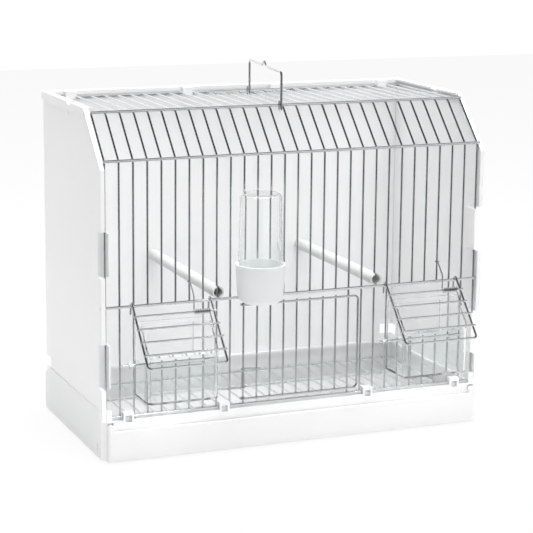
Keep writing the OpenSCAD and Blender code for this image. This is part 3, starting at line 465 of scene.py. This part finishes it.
last = round(EIGHTHS * (SPRING_TURNS + LEAN_DEGREES / 360))
count = np.linspace(0, last, last * COIL_STEPS + 1)
angle = math.pi - 2 * math.pi / EIGHTHS * count
coil = np.stack([COIL_R * np.cos(angle), -COIL_R * np.sin(angle),
                 COIL_PITCH * count / EIGHTHS], axis=1)
arm = bend([[ARM_TURN_IN - COIL_R, PITCH + ARM_TIP, 0], [-COIL_R, PITCH + ARM_KNEE, 0],
            [-COIL_R, ARM_FOOT, 0]], ARM_BEND_R)
tail = coil[-1] + 2 * SPRING_R * np.array([[math.sin(angle[-1]), math.cos(angle[-1]), 0]])
local = np.vstack([arm, coil, tail])
first_x = SPRING_GAPS * PITCH + FLAP_LEFT + coil[-1, 2]
path = np.stack([first_x - local[:, 2], FLAP_WIRE_OUT + local[:, 0],
                 PITCH + local[:, 1]], axis=1)
for side, step in (("left", 0), ("right", FEED_STEP)):
    spring = wire(f"{side}_flap_coil", flap_points(path, step), SPRING_R, (1, 0, 0))
    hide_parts(f"{side}_flap_spring")
    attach(spring, f"{side}_flap")
    spring.data.materials.append(spring_wire)
print("flap coils:", last / EIGHTHS, "turns each")

# %% [markdown]
# The door's spring is wound on the wire that the door hangs on. Its lower end reaches
# behind the next wire and stays with the cage.

# %% Door spring
HINGE_WIRE = 10
DOOR_SPRING_Z = 52
PAST_NEXT_WIRE = 5.2  # the lower end's reach beyond the next wire
RUN_FROM = 0.4  # from a coil's end to the first point of its straight run
TURN_STEPS = 28  # rings of points to a turn


def turns(count, first):
    """A coil: x = r cos t, y = r sin t, z = pitch * t / one turn, from an angle in
    degrees."""
    t = np.linspace(0, count, int(count * TURN_STEPS) + 1)
    angle = np.radians(first) + 2 * math.pi * t
    return np.stack([COIL_R * np.cos(angle), COIL_R * np.sin(angle), COIL_PITCH * t],
                    axis=1)


coil = turns(SPRING_TURNS, 90)
arm = np.array([[-PITCH - PAST_NEXT_WIRE, COIL_R, 0], [-PITCH / 2, COIL_R, 0],
                [-RUN_FROM, COIL_R, 0]])
tail = np.array([[2 * SPRING_R, COIL_R, SPRING_TURNS * COIL_PITCH]])
local = np.vstack([arm, coil * [-1, 1, 1], tail])
door_coil = wire("door_coil", local + [wire_x(HINGE_WIRE), 0, DOOR_SPRING_Z], SPRING_R,
                 (0, 0, 1))
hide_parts("door_spring")
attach(door_coil, "cage")
door_coil.data.materials.append(spring_wire)
print("door coil:", SPRING_TURNS, "turns")

# %% [markdown]
# The upper end is one turn that goes round with the door, and an arm that leaves it
# along a tangent and bears on the first door wire. The tangent from a point touches a
# circle of radius r at the point's own angle plus acos(r / the point's distance).

# %% Door spring's upper end
DOOR_WIRE_Y = -0.6
TOUCH = 0.1  # kept free between the arm and the door wire
TURN_GAP = 0.5  # kept free between the coil and the turn above it
RUN_PAST, RUN_POINTS = 3, 8

reach = np.array([PITCH, DOOR_WIRE_Y - WIRE_R - SPRING_R - TOUCH])
start = math.atan2(reach[1], reach[0]) + math.acos(COIL_R / np.linalg.norm(reach))
foot = COIL_R * np.array([math.cos(start), math.sin(start)])
way = (reach - foot) / np.linalg.norm(reach - foot)
one_turn = turns(1, 0)
angle = start - np.arctan2(one_turn[:, 1], one_turn[:, 0])
loop = np.stack([COIL_R * np.cos(angle), COIL_R * np.sin(angle), one_turn[:, 2]], axis=1)
run = np.linspace(RUN_FROM, np.linalg.norm(reach - foot) + RUN_PAST, RUN_POINTS)[:, None]
straight = np.hstack([foot + run * way, np.full((RUN_POINTS, 1), COIL_PITCH)])
lead = np.array([[foot[0] - 2 * SPRING_R * math.sin(start),
                  foot[1] + 2 * SPRING_R * math.cos(start), 0]])
arm_z = DOOR_SPRING_Z + SPRING_TURNS * COIL_PITCH + 2 * SPRING_R + TURN_GAP
door_arm = wire("door_coil_arm", np.vstack([lead, loop, straight])
                + [wire_x(HINGE_WIRE), 0, arm_z], SPRING_R, (0, 0, 1))
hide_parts("door_spring_arm")
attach(door_arm, "door")
door_arm.data.materials.append(spring_wire)
print("door spring's arm:", round(float(run[-1, 0]), 1), "mm")

# %% [markdown]
# ## Soft moulded edges
# A mould never gives a sharp edge: the tool is cut with a small radius so that the
# plastic can flow and the part can leave it. That radius is what catches a line of
# light along every rim. The solid model keeps its edges sharp, so each plastic part
# is copied, its loose triangles are welded into one skin, and a narrow bevel rounds
# the edges. The solid's stored normals belong to its old corners, so the copy drops
# them. The side walls have a strip only 0.3 mm wide along their slope, so their bevel
# is the narrowest.

# %% Rounded copies of the plastic parts
WELD_WITHIN = 2e-6  # metres
FLAT_WITHIN = math.radians(0.05)
EDGE_FROM = math.radians(40)
SHARP_FROM = math.radians(30)
EDGE_SEGMENTS = 2


def soft_edged(node, radius_mm, material):
    """A welded copy of a solid with every sharp edge rounded by a radius in mm."""
    mesh = nodes[node].data.copy()
    mesh.name = f"{node}_moulded"
    mesh.materials.clear()
    skin = bmesh.new()
    skin.from_mesh(mesh)
    bmesh.ops.remove_doubles(skin, verts=skin.verts, dist=WELD_WITHIN)
    bmesh.ops.dissolve_limit(skin, angle_limit=FLAT_WITHIN, verts=skin.verts,
                             edges=skin.edges, delimit={"NORMAL"})
    skin.to_mesh(mesh)
    skin.free()
    stored = mesh.attributes.get("custom_normal")
    if stored is not None:
        mesh.attributes.remove(stored)
    piece = bpy.data.objects.new(f"{node}_moulded", mesh)
    bpy.context.scene.collection.objects.link(piece)
    mesh.materials.append(material)
    rounding = piece.modifiers.new("rounding", "BEVEL")
    rounding.width = radius_mm / MM
    rounding.segments = EDGE_SEGMENTS
    rounding.limit_method = "ANGLE"
    rounding.angle_limit = EDGE_FROM
    smooth_faces(piece, SHARP_FROM)
    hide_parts(node)
    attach(piece, node_body[node])
    return piece


node_body = {}
for body, names in frame["record"]["behaviour"]["bodies"].items():
    node_body.update({name: body for name in names})

for node, radius, material in (
        ("base_frame", 0.3, base_white_painted_shade), ("left_panel", 0.12, wall_white),
        ("right_panel", 0.12, wall_white), ("back_panel", 0.35, wall_white),
        ("tray", 0.4, tray_white_painted_shade), ("left_feeder", 0.35, clear_plastic),
        ("right_feeder", 0.35, clear_plastic), ("drinker_cup", 0.35, cup_white)):
    made = soft_edged(node, radius, material)
    print(node, "faces", len(made.data.polygons))

# %% [markdown]
# ## The solids that stay
# Wires, rails and the round tubes are already exact, so they keep their shape and
# only get their finish.

# %% Finishes for the solids
def dress(node, material):
    """Gives a solid one material, in place of those that it came with."""
    mesh = nodes[node].data
    mesh.materials.clear()
    mesh.materials.append(material)


solids = {
    "upper_grille": grille_wire_painted_rail_sheen, "lower_grille": grille_wire_painted_rail_sheen, "slope_grille": grille_wire_painted_rail_sheen,
    "roof_grille": roof_wire_painted_light, "handle_bar": roof_wire_painted_light, "floor_grille": floor_wire_painted_light,
    "left_flap": flap_wire_painted_light, "right_flap": flap_wire_painted_light, "door": grille_wire_painted_rail_sheen,
    "left_spring_arm": spring_wire, "right_spring_arm": spring_wire,
    "drinker_tube": clear_plastic, "left_perch": perch_grey, "right_perch": perch_grey,
    "carry_handle": handle_wire_painted_light}
for node, material in solids.items():
    dress(node, material)
print("solids with a finish:", len(solids))

# %% [markdown]
# ## A plain studio
# The cage stands on a pale floor in a white room. The room's light comes from all
# round, which fills every corner of a white object. What the camera or a clear wall
# sees of the room is plain white, which costs the object no extra light.

# %% Floor
FLOOR_SIDE = FLOOR_BACK = 3  # metres
FLOOR_FRONT = -0.26
FLOOR_DROP = 0.0002  # a hair below the feet, so that no two faces coincide
OWN_WHITE = 0.9  # the share of its own white in what the eye sees


def studio_floor():
    """A pale floor: mostly its own white to the eye, partly lit so that it takes a
    shadow."""
    material, output = blank("pale_floor")
    ray = add(material, "ShaderNodeLightPath")
    lit = add(material, "ShaderNodeBsdfDiffuse", Color=colour("#E2E2E2"))
    glow = add(material, "ShaderNodeEmission", Color=WHITE, Strength=1.0)
    seen = maths(material, "MAXIMUM", (ray, "Is Camera Ray"), (ray, "Is Glossy Ray"))
    seen = maths(material, "MAXIMUM", (seen, 0), (ray, "Is Transmission Ray"))
    share = maths(material, "MULTIPLY", (seen, 0), OWN_WHITE)
    mixed = add(material, "ShaderNodeMixShader", {0: (share, 0), 1: (lit, 0), 2: (glow, 0)})
    return finish_with(material, output, mixed)


corners = [[-FLOOR_SIDE, FLOOR_FRONT, 0], [FLOOR_SIDE, FLOOR_FRONT, 0],
           [FLOOR_SIDE, FLOOR_BACK, 0], [-FLOOR_SIDE, FLOOR_BACK, 0]]
floor = mesh_from("floor", np.array(corners, float) + [0, 0, -FLOOR_DROP], [[0, 1, 2, 3]])
floor.data.materials.append(studio_floor())
print("floor from", FLOOR_FRONT, "to", FLOOR_BACK, "m")

# %% [markdown]
# The room decides how the wires look. A mirror-like wire shows what stands round it, so
# the half of the room behind the camera is dark with one tall white screen in it, and
# the half behind the cage is a white backdrop. The front of an upright then mirrors the
# dark room and its flanks the backdrop: a dark line with pale rims. A cross rail
# mirrors the tall screen along its middle. Only mirrored light sees this room; the
# camera and the clear plastic see plain white, and dull surfaces get even light.

# %% Room
TO_CAMERA = (-0.39, -0.92, 0)
BACKDROP_ENDS, DARK_BEGINS = -0.75, -0.25  # along TO_CAMERA
SCREEN = (("Z", -0.5, -0.35), ("Z", 0.85, 0.7), ("X", 0.2, 0.3), ("X", 0.58, 0.48))
DARK, EVEN = 0.04, 0.51  # strengths of the dark room and of the even light


def white_room():
    """Light from all round, a white backdrop to the eye, and a dark room with a white
    screen to mirrors. Each edge of the screen fades in along one axis of the ray's
    direction, and the four are multiplied."""
    made = bpy.data.worlds.new("white_room")
    made.use_nodes = True
    made.node_tree.nodes.clear()
    where = add(made, "ShaderNodeTexCoord")
    front = add(made, "ShaderNodeVectorMath", {0: (where, "Generated")},
                operation="DOT_PRODUCT")
    front.inputs[1].default_value = TO_CAMERA
    facing = add(made, "ShaderNodeMapRange", {"Value": (front, "Value")},
                 From_Min=BACKDROP_ENDS, From_Max=DARK_BEGINS)
    axes = add(made, "ShaderNodeSeparateXYZ", {0: (where, "Generated")})
    screen = None
    for axis, start, end in SCREEN:
        edge = add(made, "ShaderNodeMapRange", {"Value": (axes, axis)},
                   From_Min=start, From_Max=end)
        screen = edge if screen is None else maths(made, "MULTIPLY", (screen, 0), (edge, 0))
    unlit = maths(made, "SUBTRACT", 1.0, (screen, 0))
    dark = maths(made, "MULTIPLY", (facing, 0), (unlit, 0))
    mirrored = add(made, "ShaderNodeMapRange", {"Value": (dark, 0)},
                   To_Min=1.0, To_Max=DARK)
    ray = add(made, "ShaderNodeLightPath")
    plain = maths(made, "MAXIMUM", (ray, "Is Camera Ray"), (ray, "Is Transmission Ray"))
    even = add(made, "ShaderNodeBackground", Color=WHITE, Strength=EVEN)
    room = add(made, "ShaderNodeBackground", {"Strength": (mirrored, "Result")},
               Color=WHITE)
    white = add(made, "ShaderNodeBackground", Color=WHITE, Strength=1.0)
    some = add(made, "ShaderNodeMixShader",
               {0: (ray, "Is Glossy Ray"), 1: (even, 0), 2: (room, 0)})
    every = add(made, "ShaderNodeMixShader", {0: (plain, 0), 1: (some, 0), 2: (white, 0)})
    output = made.node_tree.nodes.new("ShaderNodeOutputWorld")
    made.node_tree.links.new(every.outputs[0], output.inputs["Surface"])
    return made


bpy.context.scene.world = white_room()
print("room made, even light", EVEN)

# %% [markdown]
# A broad lamp over the roof and one low in front tell the faces apart, and a weak one
# at the left fills the side wall. Mirrors don't see them, or each would put a hard
# bright line on every wire.

# %% Lamps
def lamp(name, at, towards, size, watts):
    """A square soft lamp at a point in metres, facing another point: tilted from
    straight down by the angle of the line between them, then turned to its bearing."""
    data = bpy.data.lights.new(name, "AREA")
    data.size = size
    data.energy = watts
    made = bpy.data.objects.new(name, data)
    bpy.context.scene.collection.objects.link(made)
    made.visible_glossy = False
    made.location = at
    line = np.array(towards, float) - np.array(at, float)
    line /= np.linalg.norm(line)
    flat = math.hypot(line[0], line[1])
    made.rotation_euler = (math.atan2(flat, -line[2]), 0, math.atan2(-line[0], line[1]))


lamp("front_lamp", (0.25, -2.5, 0.5), (0, 0, 0.08), 1.6, 14)
lamp("top_lamp", (0.1, -0.05, 1.7), (0, 0.03, 0.1), 1.5, 46)
lamp("side_lamp", (-0.55, 0.45, 0.1), (-0.18, 0.12, 0.05), 0.35, 0.1)
bpy.context.scene.view_settings.view_transform = "Standard"
print("lamps:", len(bpy.data.lights))
